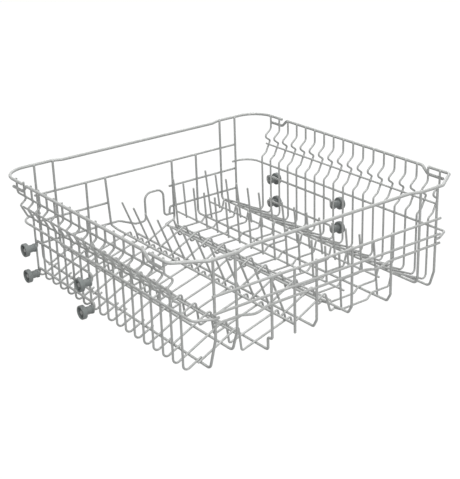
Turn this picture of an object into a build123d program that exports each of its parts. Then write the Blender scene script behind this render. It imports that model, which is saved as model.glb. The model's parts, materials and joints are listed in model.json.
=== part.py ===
"""Upper dishwasher basket of coated wire, with eight rollers on four carrier wires.

Millimetres. X runs across the basket to its right, Y to its back and Z up.
The origin is on the standing plane, under the middle of the basket.
"""
import math
import os

from build123d import *

# Overall size, between wire axes
rim_width = 530.0
rim_depth = 514.0
rim_height = 176.7

# Wire diameters over the coating, and how far two wires press into each other at a weld
rim_wire = 5.0
frame_wire = 4.0
fine_wire = 3.4
weld_sink = 0.1
wire_end_round = 1.0

# Rims: two end rims round the corners, two side rims whose ends dip below them;
# the front corners are cut straight, the back corners round
rim_corner = 42.0
rim_cut_side = 30.0
rim_cut_front = 47.0
rim_cut_bend = 10.0
rim_jog_depth = 7.0
rim_jog_start = 172.0
rim_jog_run = 17.0
rim_jog_bend = 10.0
rim_lap = 32.5
rim_dip = 12.0
rim_dip_run = 13.0
rim_dip_bend = 8.0
rim_dip_lap = 33.0

# Side ribs, from the rim down: bulge, notch for the shelf wire, shoulder and straight wall
rib_count = 18
rib_margin = 4.2
rib_stub = 2.4
bulge_start = 22.4
bulge_depth = 15.5
bulge_drop = 34.9
notch_depth = 2.5
notch_drop = 44.8
shoulder_depth = 12.5
shoulder_drop = 65.5
wall_depth = 22.3
wall_drop = 72.1
rib_top_bend = 8.0
bulge_bend = 4.8
notch_bend = 2.6
shoulder_bend = 4.0
wall_bend = 5.5
hoop_first = 1
hoop_step = 3

# Side rails
shelf_from_notch = 7.7
rail_stub = 4.0
belt_lap = 5.0
belt_drop = 85.7
belt_corner = 30.0
belt_cut_side = 13.0
belt_cut_front = 26.7
belt_cut_bend = 8.0

# Floor: outer slopes rise from the feet, three ridges on the left, two flats on the right
outer_slope = 25.5
foot_bend = 7.0
ridge_1_inset = 93.0
leg_1_run = 5.0
valley_1_drop = 0.8
ridge_2_x = -49.8
ridge_2_z = 26.2
leg_2_run = 2.8
valley_2_z = 12.2
ridge_3_x = 17.5
ridge_3_z = 43.7
leg_3_run = 10.5
valley_3_z = 9.7
hump_run = 9.0
hump_z = 12.5
flat_1_gap = 13.0
flat_1_z = 5.7
step_run = 9.0
flat_2_length = 37.0
flat_2_z = 14.4
leg_4_run = 6.3
ridge_4_inset = 82.2
peak_bend = 4.0
valley_bend = 3.2
step_bend = 5.0
front_edge_gap = 4.7
back_edge_gap = 12.4
edge_cut_left = 6.0
floor_overhang = 6.0
rib_end_overhang = 4.3

# Lengthwise wires, which stand up as the front and back walls
outer_front_inset = 27.2
outer_back_inset = 30.8
inner_front_inset = 63.7
inner_back_inset = 65.4
long_3_x = -114.0
long_4_setback = 12.2
long_4_front_gap = 11.3
long_5_x = -31.5
long_7_x = 117.0
left_slant_z = 58.7
outer_left_inset = 15.6
inner_left_inset = 12.2
right_slant_z = 34.7
outer_right_inset = 8.5
inner_right_inset = 1.5
short_slant_height = 12.5
short_slant_inset = 7.0
step_height = 20.2
step_back = 10.0
slant_bend = 12.0
short_slant_bend = 6.0
corner_bend = 4.0
framed_bend = 9.0
back_bend = 8.0
post_top = 1.5
ridge_wire_setback = 11.5
ridge_side_drop = 13.5
cross_stub = 4.0

# Front and back rails
front_upper_drop = 53.0
front_middle_drop = 79.0
front_lower_drop = 94.0
front_rail_stub = 6.0
wave_start = 57.0
wave_low = 31.0
wave_end = 9.0
wave_depth = 6.4
wave_bend = 30.0
front_post_x = -72.4
front_post_end = 20.7
back_upper_drop = 53.0
back_middle_drop = 100.0
back_lower_z = 37.3
back_rail_stub = 3.0
back_post_left_x = -75.8
back_post_lean = 5.0
back_post_bend_z = 36.0
back_post_right_x = 63.4
back_post_foot_z = 13.0
back_post_foot_bend = 6.0
ridge_turn_gap = 8.0

# Arch in the back wall, over the place of the spray arm's feed
arch_left_x = 4.3
arch_width = 40.0
arch_top_drop = 101.9
arch_foot_z = 23.0
arch_sag_start = -52.0
arch_sag_run = 34.0
arch_bend = 7.0
arch_crown = 14.0
hook_drop = 12.0
hook_lean = 2.0

# Rows of tines
slanted_tine_top = (-61.0, 83.4)
slanted_tine_knee = 5.0
slanted_tine_foot = 9.3
slanted_tine_lean = 13.0
tine_count = 15
tine_rail_z = 36.0
tine_top_z = 100.5
tine_foot = 2.0
tall_tine_foot_z = 3.7
mid_tine_x = 51.8
mid_tine_lean = 3.8
right_tine_x = 125.6
right_tine_lean = 7.1

# Roller carriers and rollers
upper_carrier_below_belt = 21.9
lower_carrier_z = 20.6
upper_axle_z = 57.7
lower_axle_z = 11.6
carrier_back_y = 200.0
carrier_front_y = 23.0
carrier_bend = 4.5
axle_bend = 3.0
axle_gap = 0.6
axle_play = 0.4
axle_clearance = 0.05
axle_head_diameter = 6.4
axle_head_length = 1.6
collar_diameter = 14.0
collar_length = 3.0
barrel_diameter = 12.5
barrel_length = 14.2
flange_diameter = 22.5
flange_length = 7.5
flange_round = 1.2
recess_diameter = 18.0
recess_depth = 5.5
hub_diameter = 8.0
hub_height = 1.5
spoke_count = 4
spoke_width = 2.0
spoke_height = 3.2
spoke_root = 0.4

# Places worked out from the driving sizes
side_x = rim_width / 2
end_y = rim_depth / 2


def touch(first, second):
    """Distance between the axes of two wires that are welded where they cross."""
    return (first + second) / 2 - weld_sink


rib_x = side_x - touch(rim_wire, fine_wire)
wall_x = rib_x - wall_depth
carrier_x = wall_x + touch(fine_wire, frame_wire)
wall_y = end_y - touch(rim_wire, frame_wire)
rail_y = wall_y + touch(frame_wire, frame_wire)
rib_reach = end_y - rim_corner - rib_margin
rib_pitch = 2 * rib_reach / (rib_count - 1)
rib_ys = [rib_reach - rib_pitch * i for i in range(rib_count)]
hoop_ids = list(range(hoop_first, rib_count, hoop_step))
hoop_ys = [rib_ys[i] for i in hoop_ids]
short_rib_ys = [y for i, y in enumerate(rib_ys) if i not in hoop_ids]
mid_floor_ys = [(a + b) / 2 for a, b in zip(hoop_ys, hoop_ys[1:])]
front_edge_y = rib_reach + front_edge_gap
back_edge_y = rib_reach + back_edge_gap
belt_z = rim_height - belt_drop
front_upper_z = rim_height - front_upper_drop
back_upper_z = rim_height - back_upper_drop
back_middle_z = rim_height - back_middle_drop
outer_front_x = wall_x - outer_front_inset
outer_back_x = wall_x - outer_back_inset
inner_front_x = wall_x - inner_front_inset
inner_back_x = wall_x - inner_back_inset

# The floor line, from the left foot to the right foot
rise = math.tan(math.radians(outer_slope))
foot_z = foot_bend + fine_wire / 2 - foot_bend * (rise + math.hypot(1, rise))
ridge_1_x = ridge_1_inset - wall_x
ridge_4_x = wall_x - ridge_4_inset
valley_3_x = ridge_3_x + leg_3_run
hump_x = valley_3_x + hump_run
flat_2_end = ridge_4_x - leg_4_run
flat_2_start = flat_2_end - flat_2_length
flat_1_end = flat_2_start - step_run
floor_line = [
    (-wall_x, foot_z),
    (ridge_1_x, foot_z + rise * ridge_1_inset),
    (ridge_1_x + leg_1_run, fine_wire / 2 - valley_1_drop),
    (ridge_2_x, ridge_2_z),
    (ridge_2_x + leg_2_run, valley_2_z),
    (ridge_3_x, ridge_3_z),
    (valley_3_x, valley_3_z),
    (hump_x, hump_z),
    (hump_x + flat_1_gap, flat_1_z),
    (flat_1_end, flat_1_z),
    (flat_2_start, flat_2_z),
    (flat_2_end, flat_2_z),
    (ridge_4_x, foot_z + rise * ridge_4_inset),
    (wall_x, foot_z),
]
floor_bends = [
    foot_bend, peak_bend, valley_bend, valley_bend, valley_bend, peak_bend, valley_bend,
    peak_bend, step_bend, step_bend, step_bend, step_bend, peak_bend, foot_bend,
]
side_line = [
    (rib_x, rim_height + rib_stub),
    (rib_x, rim_height - bulge_start),
    (rib_x - bulge_depth, rim_height - bulge_drop),
    (rib_x - notch_depth, rim_height - notch_drop),
    (rib_x - shoulder_depth, rim_height - shoulder_drop),
    (wall_x, rim_height - wall_drop),
]
side_bends = [rib_top_bend, bulge_bend, notch_bend, shoulder_bend, wall_bend]


def floor_span(x):
    """The straight run of the floor line that passes over a place across the basket."""
    return next((a, b) for a, b in zip(floor_line, floor_line[1:]) if a[0] <= x <= b[0])


def floor_z(x, offset=0.0):
    """Height of the floor line, moved square to itself by an offset."""
    (x0, z0), (x1, z1) = floor_span(x)
    slope = (z1 - z0) / (x1 - x0)
    return z0 + slope * (x - x0) + offset * math.hypot(1, slope)


def floor_part(start, stop):
    """Points and bends of the floor line between two places across the basket."""
    inner = [i for i, point in enumerate(floor_line) if start < point[0] < stop]
    points = [(start, floor_z(start))] + [floor_line[i] for i in inner] + [(stop, floor_z(stop))]
    return points, [floor_bends[i] for i in inner]


def outer_x(y):
    """Distance of the outer lengthwise wires from the middle, which lessens to the back."""
    share = (wall_y - y) / (2 * wall_y)
    return outer_back_x + share * (outer_front_x - outer_back_x)


def wire(points, bends, diameter, end_round=wire_end_round):
    """A round wire along straight runs joined by bends, its two ends eased."""
    path = FilletPolyline(*points, radius=bends) if bends else Line(*points)
    bent = sweep(Plane(origin=path @ 0, z_dir=path % 0) * Circle(diameter / 2), path=path)
    if end_round:
        bent = fillet(bent.faces().filter_by(GeomType.PLANE).edges(), end_round)
    return bent


def across(points, y):
    """Points (x, z) of a wire that crosses the basket, set in the plane of one Y."""
    return [(x, y, z) for x, z in points]


def end_rim(end):
    """Front or back rim: a U with cut or round corners, its middle set in by a jog."""
    corner, bends = [(side_x, end_y)], [rim_corner]
    if end < 0:
        corner = [(side_x, end_y - rim_cut_side), (side_x - rim_cut_front, end_y)]
        bends = [rim_cut_bend, rim_cut_bend]
    half = [
        (side_x, end_y - rim_corner - rim_lap),
        *corner,
        (rim_jog_start, end_y),
        (rim_jog_start - rim_jog_run, end_y - rim_jog_depth),
    ]
    plan = [(-x, y) for x, y in half] + half[::-1]
    half_bends = bends + [rim_jog_bend, rim_jog_bend]
    points = [(x, end * y, rim_height) for x, y in plan]
    return wire(points, half_bends + half_bends[::-1], rim_wire)


def side_rim(side):
    """Side rim: level along the ribs, its two ends dipping under the end rims."""
    dip_end = end_y - rim_corner - rim_dip_lap
    dip_start = dip_end - rim_dip_run
    low = rim_height - rim_dip
    half = [(end_y - rim_corner, low), (dip_end, low), (dip_start, rim_height)]
    line = half + [(-y, z) for y, z in half[::-1]]
    points = [(side * side_x, y, z) for y, z in line]
    return wire(points, [rim_dip_bend] * 4, rim_wire)


def hoop(y):
    """One wire from the left rim down the wall, across the floor and up to the right rim."""
    left = [(-x, z) for x, z in side_line]
    points = left + floor_line + side_line[::-1]
    return wire(across(points, y), side_bends + floor_bends + side_bends[::-1], fine_wire)


def short_rib(side, y):
    """A side rib that ends on the outer slope, just past the first lengthwise wire."""
    end_x = outer_x(y) - rib_end_overhang
    points = side_line + [(wall_x, foot_z), (end_x, floor_z(-end_x))]
    placed = [(side * x, z) for x, z in points]
    return wire(across(placed, y), side_bends + [foot_bend], fine_wire)


def floor_wire(y, start=-side_x, stop=side_x):
    """A floor wire between the feet of the ribs, over the whole floor or a part of it."""
    reach = outer_x(y) + floor_overhang
    points, bends = floor_part(max(start, -reach), min(stop, reach))
    return wire(across(points, y), bends, fine_wire)


def along(x, z, front, back, diameter):
    """A straight wire that runs along the basket from front to back."""
    return wire([(x, -front, z), (x, back, z)], [], diameter)


def shelf_wire(side):
    """Straight wire that rests on the lower flank of every rib's notch."""
    down = math.atan2(shoulder_depth - notch_depth, shoulder_drop - notch_drop)
    gap = touch(fine_wire, fine_wire)
    x = rib_x - notch_depth - shelf_from_notch * math.sin(down) - gap * math.cos(down)
    z = rim_height - notch_drop - shelf_from_notch * math.cos(down) + gap * math.sin(down)
    reach = rib_reach + rail_stub
    return along(side * x, z, reach, reach, fine_wire)


def belt(side):
    """Wire round the outside of one wall, its front corner cut, its ends lapping the posts."""
    plan = [
        (outer_front_x - belt_lap, -rail_y),
        (carrier_x - belt_cut_front, -rail_y),
        (carrier_x, belt_cut_side - rail_y),
        (carrier_x, rail_y),
        (outer_back_x - belt_lap, rail_y),
    ]
    points = [(side * x, y, belt_z) for x, y in plan]
    return wire(points, [belt_cut_bend, belt_cut_bend, belt_corner], frame_wire)


def slanted_front(x, run_z, top, slant_z, inset):
    """Front post of a lengthwise wire: straight down, then slanting in to the floor."""
    return [(x, -wall_y, top), (x, -wall_y, slant_z), (x, inset - wall_y, run_z)]


def back_post(x, run_z, top):
    """Back post of a lengthwise wire: one bend from the floor straight up."""
    return [(x, wall_y, run_z), (x, wall_y, top)]


def framed_wire(front_x, back_x, slant_z, inset):
    """Lengthwise wire under an outer slope that rises to the rim at front and back."""
    front_z = floor_z(front_x, -touch(fine_wire, frame_wire))
    back_z = floor_z(back_x, -touch(fine_wire, frame_wire))
    top = rim_height + post_top
    front = slanted_front(front_x, front_z, top, slant_z, inset)
    bends = [slant_bend, framed_bend, back_bend]
    return wire(front + back_post(back_x, back_z, top), bends, frame_wire)


def stepped_wire(x):
    """Lengthwise wire in the first valley; its front post steps back above the floor."""
    run_z = floor_z(x, -touch(fine_wire, frame_wire))
    step_z = run_z + step_height
    front = [
        (x, -wall_y, front_upper_z + post_top),
        (x, -wall_y, step_z),
        (x, step_back - wall_y, step_z),
        (x, step_back - wall_y, run_z),
    ]
    bends = [corner_bend, corner_bend, corner_bend, back_bend]
    return wire(front + back_post(x, run_z, back_upper_z + post_top), bends, frame_wire)


def low_wire(x, run_z, back):
    """Lengthwise wire with a short front post, ending at the back in the given points."""
    top = front_upper_z + post_top
    front = slanted_front(x, run_z, top, run_z + short_slant_height, short_slant_inset)
    bends = [short_slant_bend, corner_bend] + [back_bend] * (len(back) - 1)
    return wire(front + back, bends, frame_wire)


def leaning_back_wire():
    """Back post left of the arch, and its run on top of the slope behind the second ridge."""
    x = ridge_2_x - long_4_setback
    run_z = floor_z(x, touch(fine_wire, frame_wire))
    points = [
        (back_post_left_x, wall_y, back_upper_z + post_top),
        (back_post_left_x + back_post_lean, wall_y, back_post_bend_z),
        (x, wall_y - back_bend, run_z),
        (x, long_4_front_gap - wall_y, run_z),
    ]
    return wire(points, [back_bend, back_bend], frame_wire)


def ridge_post_wire():
    """Back post right of the arch, and its run to the third ridge and along under it."""
    x = ridge_3_x - ridge_wire_setback
    run_z = floor_z(x, -touch(fine_wire, frame_wire))
    points = [
        (back_post_right_x, wall_y, back_upper_z + post_top),
        (back_post_right_x, wall_y, back_post_foot_z),
        (x, hoop_ys[0] + ridge_turn_gap, run_z),
        (x, -front_edge_y - cross_stub, run_z),
    ]
    return wire(points, [back_post_foot_bend, back_bend], frame_wire)


beside = touch(fine_wire, fine_wire)
first_tine_y = back_edge_y + beside
tine_pitch = (back_edge_y + front_edge_y) / (tine_count - 1)
tine_ys = [first_tine_y - tine_pitch * i for i in range(tine_count)]


def tine_row(x, lean):
    """Upright tines leaning to the left; the first and the last stand on the edge wires."""
    tilt = lean / (tine_top_z - tine_rail_z)
    feet = [tine_rail_z - tine_foot] * tine_count
    feet[0] = feet[-1] = tall_tine_foot_z
    return [
        wire([(x + tilt * (tine_rail_z - foot), y, foot), (x - lean, y, tine_top_z)], [], fine_wire)
        for y, foot in zip(tine_ys, feet)
    ]


def tine_rail(x, lean):
    """Rail along the right side of a row of upright tines."""
    tilt = lean / (tine_top_z - tine_rail_z)
    rail_x = x + beside * math.hypot(1, tilt)
    return along(rail_x, tine_rail_z, cross_stub - tine_ys[-1], tine_ys[0] + cross_stub, fine_wire)


def slanted_tine(y):
    """A tine against the left side of the fifth lengthwise wire, beside a floor wire."""
    lean = math.radians(slanted_tine_lean)
    gap = touch(fine_wire, frame_wire)
    weld_x = long_5_x - gap * math.cos(lean)
    weld_z = long_5_z - gap * math.sin(lean)
    foot = (weld_x + slanted_tine_foot * math.sin(lean), weld_z - slanted_tine_foot * math.cos(lean))
    knee = (weld_x - slanted_tine_knee * math.sin(lean), weld_z + slanted_tine_knee * math.cos(lean))
    points = across([foot, knee, slanted_tine_top], y)
    return wire(points, [back_bend], fine_wire)


def wave_points(post_x):
    """Points (x, z) of the dip in the lower front rail, left of one of its posts."""
    z = rim_height - front_lower_drop
    return [
        (post_x - wave_start, z),
        (post_x - wave_low, z - wave_depth),
        (post_x - wave_end, z),
    ]


def front_rail(drop, dips=()):
    """Rail outside the front posts, with a dip left of each post that is given."""
    end_x = outer_front_x + front_rail_stub
    inner = [point for post_x in dips for point in wave_points(post_x)]
    z = rim_height - drop
    points = [(-end_x, z)] + inner + [(end_x, z)]
    return wire(across(points, -rail_y), [wave_bend] * len(inner), frame_wire)


def back_rail(start, stop, z):
    """Straight rail outside the back posts."""
    return wire(across([(start, z), (stop, z)], rail_y), [], frame_wire)


def arch_wire():
    """Lower left back rail, which sags and then rises as the arch and ends in a foot."""
    left_x = -outer_back_x - back_rail_stub
    right_x = arch_left_x + arch_width
    top_z = rim_height - arch_top_drop
    points = [
        (left_x, back_lower_z),
        (arch_sag_start, back_lower_z),
        (arch_sag_start + arch_sag_run, arch_foot_z),
        (arch_left_x, arch_foot_z),
        (arch_left_x, top_z),
        (right_x, top_z),
        (right_x, arch_foot_z),
        (back_post_right_x + back_rail_stub, arch_foot_z),
    ]
    bends = [slant_bend, arch_bend, arch_bend, arch_crown, arch_crown, arch_bend]
    return wire(across(points, rail_y), bends, frame_wire)


def hooked_rail():
    """Lower right back rail, its free end hooked down beside the post."""
    hook_x = back_post_right_x - front_rail_stub
    points = [
        (outer_back_x + back_rail_stub, back_lower_z),
        (hook_x, back_lower_z),
        (hook_x - hook_lean, back_lower_z - hook_drop),
    ]
    return wire(across(points, rail_y), [corner_bend], frame_wire)


roller_length = barrel_length + flange_length
roller_start = carrier_x + axle_bend + axle_gap
hub_face = roller_length - recess_depth + hub_height
axle_end = roller_start + hub_face + axle_play


def carrier(side, z, axle_z):
    """Carrier wire along one wall, its ends turned down and out as two headed axles."""
    x = side * carrier_x
    end_x = side * axle_end
    points = [
        (end_x, carrier_back_y, axle_z),
        (x, carrier_back_y, axle_z),
        (x, carrier_back_y, z),
        (x, carrier_front_y, z),
        (x, carrier_front_y, axle_z),
        (end_x, carrier_front_y, axle_z),
    ]
    bends = [axle_bend, carrier_bend, carrier_bend, axle_bend]
    body = wire(points, bends, frame_wire, end_round=0.0)
    head = Rot(Y=side * 90) * Cylinder(
        axle_head_diameter / 2, axle_head_length, align=(Align.CENTER, Align.CENTER, Align.MIN)
    )
    for y in (carrier_back_y, carrier_front_y):
        body += Pos(end_x, y, axle_z) * head
    return body


def roller_shape():
    """Roller about the X axis: inner collar, barrel, and a flange with a spoked recess."""
    bore = frame_wire / 2 + axle_clearance
    floor_x = roller_length - recess_depth
    outline = [
        (0, bore),
        (0, collar_diameter / 2),
        (collar_length, collar_diameter / 2),
        (collar_length, barrel_diameter / 2),
        (barrel_length, barrel_diameter / 2),
        (barrel_length, flange_diameter / 2),
        (roller_length, flange_diameter / 2),
        (roller_length, recess_diameter / 2),
        (floor_x, recess_diameter / 2),
        (floor_x, hub_diameter / 2),
        (hub_face, hub_diameter / 2),
        (hub_face, bore),
    ]
    section = make_face(Polyline(*[(x, 0, r) for x, r in outline], close=True))
    body = revolve(section, Axis.X)
    flange_edges = body.edges().filter_by(GeomType.CIRCLE).group_by(SortBy.RADIUS)[-1]
    body = fillet(flange_edges, flange_round)
    spoke_length = (recess_diameter - hub_diameter) / 2
    spoke = Pos(floor_x, 0, (hub_diameter + spoke_length) / 2) * Box(
        spoke_height, spoke_width, spoke_length + 2 * spoke_root,
        align=(Align.MIN, Align.CENTER, Align.CENTER),
    )
    for i in range(spoke_count):
        body += Rot(X=360 * i / spoke_count) * spoke
    return body


def roller(side, y, z):
    """The roller on one axle, its flange outward."""
    body = roller_shape()
    if side < 0:
        body = mirror(body, about=Plane.YZ)
    return Pos(side * roller_start, y, z) * body


# Every node with its separate solids
nodes = {}
sides = {"left": -1, "right": 1}
ends = {"front": -1, "back": 1}
for name, end in ends.items():
    nodes[f"rim_{name}"] = [end_rim(end)]
for name, side in sides.items():
    nodes[f"rim_{name}"] = [side_rim(side)]
    nodes[f"side_ribs_{name}"] = [short_rib(side, y) for y in short_rib_ys]
    nodes[f"shelf_wire_{name}"] = [shelf_wire(side)]
    nodes[f"belt_wire_{name}"] = [belt(side)]
for i, y in enumerate(hoop_ys, 1):
    nodes[f"hoop_wire_{i}"] = [hoop(y)]

nodes["floor_wires"] = [floor_wire(y) for y in mid_floor_ys]
nodes["floor_edge_wire_front"] = [floor_wire(-front_edge_y)]
nodes["floor_edge_wires_back"] = [
    floor_wire(back_edge_y, stop=ridge_2_x + leg_2_run + edge_cut_left),
    floor_wire(back_edge_y, start=hump_x),
]

under_frame = -touch(fine_wire, frame_wire)
under_fine = -touch(fine_wire, fine_wire)
long_5_z = floor_z(long_5_x, under_frame)
long_6_z = hump_z + touch(fine_wire, frame_wire)
nodes["long_wire_1"] = [framed_wire(-outer_front_x, -outer_back_x, left_slant_z, outer_left_inset)]
nodes["long_wire_2"] = [framed_wire(-inner_front_x, -inner_back_x, left_slant_z, inner_left_inset)]
nodes["long_wire_3"] = [stepped_wire(long_3_x)]
nodes["long_wire_4"] = [leaning_back_wire()]
nodes["long_wire_5"] = [
    low_wire(long_5_x, long_5_z, [(long_5_x, first_tine_y + cross_stub, long_5_z)])
]
nodes["long_wire_6"] = [low_wire(hump_x, long_6_z, [(hump_x, hoop_ys[0] + cross_stub, long_6_z)])]
long_7_z = flat_2_z + under_frame
nodes["long_wire_7"] = [
    low_wire(long_7_x, long_7_z, back_post(long_7_x, long_7_z, back_upper_z + post_top))
]
nodes["long_wire_8"] = [framed_wire(inner_front_x, inner_back_x, right_slant_z, inner_right_inset)]
nodes["long_wire_9"] = [framed_wire(outer_front_x, outer_back_x, right_slant_z, outer_right_inset)]

front_reach = front_edge_y + cross_stub
back_reach = back_edge_y + cross_stub
hoop_reach = hoop_ys[0] + cross_stub
leg_3_slope = leg_3_run / (ridge_3_z - valley_3_z)
ridge_side_x = (
    ridge_3_x + ridge_side_drop * leg_3_slope
    + touch(fine_wire, fine_wire) * math.hypot(1, leg_3_slope)
)
ridge_under_1_x = ridge_1_x - leg_1_run - leg_2_run
nodes["ridge_wire_left"] = [
    along(ridge_under_1_x, floor_z(ridge_under_1_x, under_fine), front_reach, back_reach, fine_wire)
]
nodes["ridge_wire_middle"] = [ridge_post_wire()]
nodes["ridge_wire_side"] = [
    along(ridge_side_x, ridge_3_z - ridge_side_drop, front_reach, hoop_reach, fine_wire)
]

slanted_ys = [back_edge_y] + sorted(hoop_ys + mid_floor_ys, reverse=True)
nodes["slanted_tines"] = [slanted_tine(y + beside) for y in slanted_ys]
nodes["mid_tine_rail"] = [tine_rail(mid_tine_x, mid_tine_lean)]
nodes["mid_tines"] = tine_row(mid_tine_x, mid_tine_lean)
nodes["right_tine_rail"] = [tine_rail(right_tine_x, right_tine_lean)]
nodes["right_tines"] = tine_row(right_tine_x, right_tine_lean)

nodes["front_rail_upper"] = [front_rail(front_upper_drop)]
nodes["front_rail_middle"] = [front_rail(front_middle_drop)]
nodes["front_rail_lower"] = [front_rail(front_lower_drop, (long_3_x, long_7_x))]
nodes["front_post"] = [
    wire(
        [(front_post_x, -wall_y, front_post_end), (front_post_x, -wall_y, front_upper_z + post_top)],
        [], frame_wire,
    )
]
rail_end = outer_back_x + back_rail_stub
nodes["back_rail_upper"] = [back_rail(-rail_end, rail_end, back_upper_z)]
nodes["back_rail_left"] = [
    back_rail(-rail_end, back_post_left_x + back_rail_stub, back_middle_z)
]
nodes["back_rail_right"] = [
    back_rail(back_post_right_x - front_rail_stub, rail_end, back_middle_z)
]
nodes["back_arch_wire"] = [arch_wire()]
nodes["back_hooked_rail"] = [hooked_rail()]

levels = {
    "upper": (belt_z - upper_carrier_below_belt, upper_axle_z),
    "lower": (lower_carrier_z, lower_axle_z),
}
axle_ys = {"front": carrier_front_y, "back": carrier_back_y}
for name, side in sides.items():
    for level, (z, axle_z) in levels.items():
        nodes[f"roller_carrier_{name}_{level}"] = [carrier(side, z, axle_z)]
        for place, y in axle_ys.items():
            nodes[f"roller_{name}_{place}_{level}"] = [roller(side, y, axle_z)]

os.makedirs("parts", exist_ok=True)
for name, solids in nodes.items():
    shape = solids[0] if len(solids) == 1 else Compound(children=solids)
    export_step(shape, f"parts/{name}.step")
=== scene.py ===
"""Finishes, coating details, light and camera for an upper dishwasher basket of coated wire."""
import itertools
import json
import math

import bmesh
import bpy
import numpy as np
from mathutils import Matrix, Vector
from mathutils.bvhtree import BVHTree
from mathutils.geometry import intersect_line_line, intersect_ray_tri


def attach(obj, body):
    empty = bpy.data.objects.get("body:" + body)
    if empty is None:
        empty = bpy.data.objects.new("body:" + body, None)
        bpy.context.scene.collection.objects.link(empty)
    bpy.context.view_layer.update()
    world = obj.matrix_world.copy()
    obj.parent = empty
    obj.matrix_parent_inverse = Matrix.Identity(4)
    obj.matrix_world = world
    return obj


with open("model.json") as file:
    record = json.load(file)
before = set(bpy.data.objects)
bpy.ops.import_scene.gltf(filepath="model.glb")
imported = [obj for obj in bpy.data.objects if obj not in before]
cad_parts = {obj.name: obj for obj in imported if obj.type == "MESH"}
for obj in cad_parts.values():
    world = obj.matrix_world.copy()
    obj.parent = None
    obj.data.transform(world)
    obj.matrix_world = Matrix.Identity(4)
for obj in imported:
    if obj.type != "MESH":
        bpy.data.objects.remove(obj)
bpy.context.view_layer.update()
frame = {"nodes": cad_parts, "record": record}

MM = 0.001

# Colours, in sRGB
coat_pale = "#c4c6c4"
coat_deep = "#b0b2b0"
roller_pale = "#989d9c"
roller_deep = "#7f8483"
studio_white = "#ffffff"
floor_grey = "#787878"

# Patterns of the finishes: size in millimetres, and the noise's detail. Grain from a spark-eroded tool
# is about 0.05 mm, and is drawn coarser so that it shows in a close view.
coat_cloud = (60.0, 3.0)
coat_peel = (2.4, 2.0)
roller_flow = (14.0, 2.0)
roller_spark = (0.7, 1.0)

# Relief of the finer patterns: height in millimetres, and strength
peel_relief = (0.05, 0.6)
spark_relief = (0.02, 0.5)

# Gloss of the finishes: least and most roughness, and refraction
coat_roughness = (0.22, 0.34)
coat_ior = 1.56
roller_roughness = (0.42, 0.58)
roller_ior = 1.48

# Sockets of a Mix node that mixes colours: its share and two colours go in, one colour comes out
mix_share = 0
mix_first = 6
mix_second = 7
mix_out = 2

# Where wires are welded, in millimetres: how near they touch, how far one weld spreads, and how far
# round it a wire is measured
crossing_slack = 0.15
crossing_spread = 6.0
crossing_reach = 4.0

# Limits on a weld: the cosine past which a face is a wire's end, and the sine under which two wires
# run side by side
cap_limit = 0.3
least_turn = 0.3

# Coating that gathers at a weld: its reach and its waist as shares, its depth in the wires in
# millimetres, and the fineness of its mesh
fillet_share = 0.86
fillet_neck = 0.74
fillet_bury = 0.04
fillet_sides = 16
fillet_rings = 5

# Camera, from the photograph's vanishing lines, in metres, degrees and millimetres of film; the
# picture is 460 wide and 479 high
camera_place = (-0.9643, -1.3177, 0.7405)
camera_heading = 36.135
camera_dive = 22.927
camera_roll = -1.918
camera_lens = 85.285
camera_sensor = 36.0
camera_shift = (0.0051, 0.0213)

# White floor: width in metres, the paper's share of what shows, and the strength of the glow in the rest
floor_size = 12.0
floor_share = 0.4
floor_glow = 1.62

# White dome: how strongly it lights the object, and how strongly it shows
dome_light = 0.2
dome_shown = 1.0

# Soft lamps: place and width in metres, and power in watts
lamps = {
    "key": ((0.0, -0.1, 2.6), 1.8, 47.0),
    "fill": ((-1.0, -2.4, 1.0), 1.4, 34.0),
    "back": ((1.8, 1.7, 1.7), 1.4, 16.0),
}


def linear(colour):
    """The linear RGBA of an sRGB hex colour."""
    parts = [int(colour[i:i + 2], 16) / 255 for i in (1, 3, 5)]
    return [p / 12.92 if p <= 0.04045 else ((p + 0.055) / 1.055) ** 2.4 for p in parts] + [1.0]


def per_metre(millimetres):
    """A texture's scale for a pattern of that size."""
    return 1 / (millimetres * MM)


def add(tree, kind, inputs=(), **settings):
    """Adds one shader node with its settings, and fills or links its inputs."""
    made = tree.nodes.new("ShaderNode" + kind)
    for name, value in settings.items():
        setattr(made, name, value)
    for key, value in dict(inputs).items():
        socket = made.inputs[key]
        if isinstance(value, bpy.types.NodeSocket):
            tree.links.new(value, socket)
        else:
            socket.default_value = value
    return made


def new_material(name):
    """An empty material, and its node tree."""
    made = bpy.data.materials.new(name)
    made.use_nodes = True
    made.node_tree.nodes.clear()
    return made, made.node_tree


def new_object(name, data):
    """A new object in the scene."""
    made = bpy.data.objects.new(name, data)
    bpy.context.scene.collection.objects.link(made)
    return made


def clouded_finish(name, colours, cloud, grain, relief, roughness, ior):
    """A finish whose colour drifts in soft clouds, with a finer grain in its gloss and its relief."""
    made, tree = new_material(name)
    place = add(tree, "TexCoord").outputs["Object"]
    clouds, grains = [
        add(tree, "TexNoise", {"Vector": place, "Scale": per_metre(size), "Detail": detail}).outputs["Fac"]
        for size, detail in (cloud, grain)
    ]
    deep, pale = colours
    colour = add(tree, "Mix", {
        mix_share: clouds, mix_first: linear(deep), mix_second: linear(pale),
    }, data_type="RGBA")
    least, most = roughness
    gloss = add(tree, "MapRange", {"Value": grains, "To Min": least, "To Max": most})
    height, strength = relief
    bump = add(tree, "Bump", {"Height": grains, "Distance": height * MM, "Strength": strength})
    shader = add(tree, "BsdfPrincipled", {
        "Base Color": colour.outputs[mix_out], "Roughness": gloss.outputs[0],
        "Normal": bump.outputs[0], "IOR": ior,
    })
    add(tree, "OutputMaterial", {"Surface": shader.outputs[0]})
    return made


def nylon_dipped_wire():
    """Polyamide powder, melted onto hot steel wire in a dip: even satin grey, waved like fine orange
    peel, with broad soft highlights and a coat that is a little paler where it lies thin."""
    return clouded_finish(
        "nylon_dipped_steel_wire", (coat_deep, coat_pale), coat_cloud, coat_peel, peel_relief,
        coat_roughness, coat_ior,
    )


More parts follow.
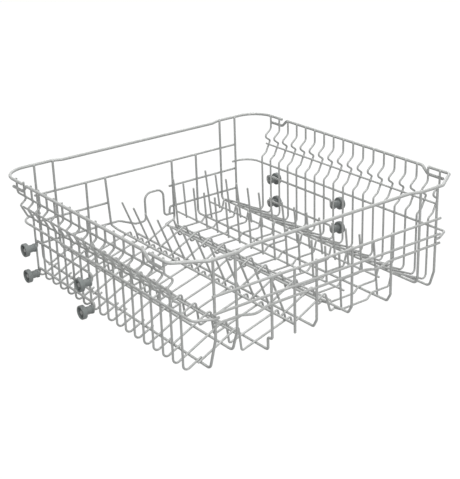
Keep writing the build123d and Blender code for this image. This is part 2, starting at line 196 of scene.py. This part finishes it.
def moulded_acetal():
    """Acetal, injection moulded in a spark-eroded tool: dense grey, finely matt, with faint clouds
    where the melt flowed round the hub."""
    return clouded_finish(
        "moulded_acetal", (roller_deep, roller_pale), roller_flow, roller_spark, spark_relief,
        roller_roughness, roller_ior,
    )


def seen_ray(tree):
    """One for rays that show the ground: the camera's, and those of mirrors and glass."""
    path = add(tree, "LightPath").outputs
    first = add(tree, "Math", {0: path["Is Camera Ray"], 1: path["Is Glossy Ray"]}, operation="MAXIMUM")
    both = add(tree, "Math", {0: first.outputs[0], 1: path["Is Transmission Ray"]}, operation="MAXIMUM")
    return both.outputs[0]


def white_paper():
    """White paper sweep, matt: it shows as plain white and keeps the object's soft shadow."""
    made, tree = new_material("white_paper_sweep")
    paper = add(tree, "BsdfDiffuse", {"Color": linear(floor_grey)})
    glow = add(tree, "Emission", {"Color": linear(studio_white), "Strength": floor_glow})
    share = add(tree, "Math", {0: seen_ray(tree), 1: 1 - floor_share}, operation="MULTIPLY")
    mix = add(tree, "MixShader", {0: share.outputs[0], 1: paper.outputs[0], 2: glow.outputs[0]})
    add(tree, "OutputMaterial", {"Surface": mix.outputs[0]})
    return made


class Wires:
    """One node's triangles in millimetres, plain and swollen a little, ready to be searched."""

    def __init__(self, node):
        mesh = node.data
        mesh.calc_loop_triangles()
        self.corners = [tuple(face.vertices) for face in mesh.loop_triangles]
        self.normals = np.array([face.normal for face in mesh.loop_triangles])
        self.areas = np.array([face.area for face in mesh.loop_triangles])
        self.points = [vertex.co / MM for vertex in mesh.vertices]
        self.swollen = [vertex.co / MM + vertex.normal * crossing_slack for vertex in mesh.vertices]
        self.tree = BVHTree.FromPolygons(self.points, self.corners)
        self.swollen_tree = BVHTree.FromPolygons(self.swollen, self.corners)

    def axis_at(self, place):
        """A point on the axis, the direction and the radius of the wire near a weld."""
        near = [index for _, _, index, _ in self.tree.find_nearest_range(place, crossing_reach)]
        normals = self.normals[near]
        weighted = normals * self.areas[near][:, None]
        # The wire runs in the direction that its faces look in least
        _, directions = np.linalg.eigh(weighted.T @ normals)
        run = directions[:, 0]
        sides = [i for i, normal in zip(near, normals) if abs(normal @ run) < cap_limit]
        normals = self.normals[sides]
        # Each side face lies one radius from the axis, and the point sought lies level with the weld
        offsets = [n @ np.array(self.points[self.corners[i][0]]) for i, n in zip(sides, normals)]
        rows = np.column_stack([normals, np.ones(len(normals))])
        rows = np.vstack([rows, np.append(run, 0)])
        solved = np.linalg.lstsq(rows, np.append(offsets, run @ np.array(place)), rcond=None)[0]
        return Vector(solved[:3]), Vector(run), float(solved[3])


def cut_points(first, second):
    """Where the edges of two triangles pass through each other."""
    found = []
    for edges, face in ((first, second), (second, first)):
        for start, stop in zip(edges, edges[1:] + edges[:1]):
            hit = intersect_ray_tri(*face, stop - start, start, True)
            if hit and 0 <= (hit - start).dot(stop - start) <= (stop - start).length_squared:
                found.append(hit)
    return found


def weld_places(first, second):
    """The middle of each group of points where the wires of two nodes touch."""
    groups = []
    for a, b in first.swollen_tree.overlap(second.tree):
        face_a = [first.swollen[i] for i in first.corners[a]]
        face_b = [second.points[i] for i in second.corners[b]]
        for point in cut_points(face_a, face_b):
            group = next((g for g in groups if (g[0] - point).length < crossing_spread), None)
            if group is None:
                groups.append([point])
            else:
                group.append(point)
    return [sum(group, Vector()) / len(group) for group in groups]


def add_fillet(mesh, first, second):
    """The ring of coating between two wires that cross: a closed saddle with a waisted edge."""
    (point_a, run_a, radius_a), (point_b, run_b, radius_b) = first, second
    if run_a.cross(run_b).length < least_turn:
        return
    foot_a, foot_b = intersect_line_line(point_a, point_a + run_a, point_b, point_b + run_b)
    gap = (foot_b - foot_a).length
    out = (foot_b - foot_a).normalized()
    side_a = out.cross(run_a)
    side_b = out.cross(run_b)
    reach = fillet_share * min(radius_a, radius_b)
    rings = []
    for k in range(fillet_rings):
        level = 2 * k / (fillet_rings - 1) - 1
        spread = reach * (fillet_neck + (1 - fillet_neck) * level * level)
        ring = []
        for i in range(fillet_sides):
            turn = 2 * math.pi * i / fillet_sides
            flat = run_a * (spread * math.cos(turn)) + side_a * (spread * math.sin(turn))
            low = math.sqrt(radius_a ** 2 - flat.dot(side_a) ** 2) - fillet_bury
            high = gap - math.sqrt(radius_b ** 2 - flat.dot(side_b) ** 2) + fillet_bury
            height = low + (high - low) * (level + 1) / 2
            ring.append(mesh.verts.new((foot_a + flat + out * height) * MM))
        rings.append(ring)
    bottom = mesh.verts.new((foot_a + out * (radius_a / 2)) * MM)
    top = mesh.verts.new((foot_b - out * (radius_b / 2)) * MM)
    for i in range(fillet_sides):
        j = (i + 1) % fillet_sides
        for lower, upper in zip(rings, rings[1:]):
            mesh.faces.new((lower[i], lower[j], upper[j], upper[i])).smooth = True
        mesh.faces.new((rings[0][j], rings[0][i], bottom))
        mesh.faces.new((rings[-1][i], rings[-1][j], top))


def weld_fillets(finish):
    """The coating that gathers at every weld of the basket."""
    members = frame["record"]["behaviour"]["bodies"]["basket"]
    wires = [Wires(frame["nodes"][name]) for name in members]
    mesh = bmesh.new()
    for first, second in itertools.combinations(wires, 2):
        for place in weld_places(first, second):
            add_fillet(mesh, first.axis_at(place), second.axis_at(place))
    data = bpy.data.meshes.new("weld_fillets")
    mesh.to_mesh(data)
    mesh.free()
    data.materials.append(finish)
    piece = new_object("weld_fillets", data)
    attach(piece, "basket")


def finish_nodes(finishes):
    """Gives every CAD node the finish of the slot that the record names for it."""
    for subpart in frame["record"]["subparts"]:
        materials = frame["nodes"][subpart["node"]].data.materials
        materials.clear()
        materials.append(finishes[subpart["material_slot"]])


def make_floor():
    """The white paper that the basket stands on."""
    half = floor_size / 2
    corners = [(-half, -half, 0), (half, -half, 0), (half, half, 0), (-half, half, 0)]
    data = bpy.data.meshes.new("floor")
    data.from_pydata(corners, [], [range(len(corners))])
    data.materials.append(white_paper())
    new_object("floor", data)


def make_dome():
    """A white world, which shows brighter than it lights the object."""
    world = bpy.data.worlds.new("white_dome")
    bpy.context.scene.world = world
    world.use_nodes = True
    tree = world.node_tree
    tree.nodes.clear()
    light = add(tree, "Background", {"Color": linear(studio_white), "Strength": dome_light})
    shown = add(tree, "Background", {"Color": linear(studio_white), "Strength": dome_shown})
    mix = add(tree, "MixShader", {0: seen_ray(tree), 1: light.outputs[0], 2: shown.outputs[0]})
    add(tree, "OutputWorld", {"Surface": mix.outputs[0]})


def make_lamps():
    """The soft lamps, each turned towards the middle of the floor."""
    for name, (place, width, power) in lamps.items():
        lamp = bpy.data.lights.new(name, "AREA")
        lamp.size = width
        lamp.energy = power
        holder = new_object(name, lamp)
        holder.location = place
        holder.rotation_euler = (-Vector(place)).to_track_quat("-Z", "Y").to_euler()


def make_camera():
    """The camera at the photograph's viewing angle."""
    data = bpy.data.cameras.new("camera")
    data.lens = camera_lens
    data.sensor_fit = "HORIZONTAL"
    data.sensor_width = camera_sensor
    data.shift_x, data.shift_y = camera_shift
    camera = new_object("camera", data)
    turn = Matrix.Rotation(-math.radians(camera_heading), 4, "Z")
    tip = Matrix.Rotation(math.radians(90 - camera_dive), 4, "X")
    roll = Matrix.Rotation(math.radians(camera_roll), 4, "Z")
    camera.matrix_world = Matrix.Translation(camera_place) @ turn @ tip @ roll
    bpy.context.scene.camera = camera


coat = nylon_dipped_wire()
finish_nodes({"coated_wire": coat, "roller_plastic": moulded_acetal()})
weld_fillets(coat)
make_floor()
make_dome()
make_lamps()
make_camera()
bpy.context.scene.view_settings.view_transform = "Standard"
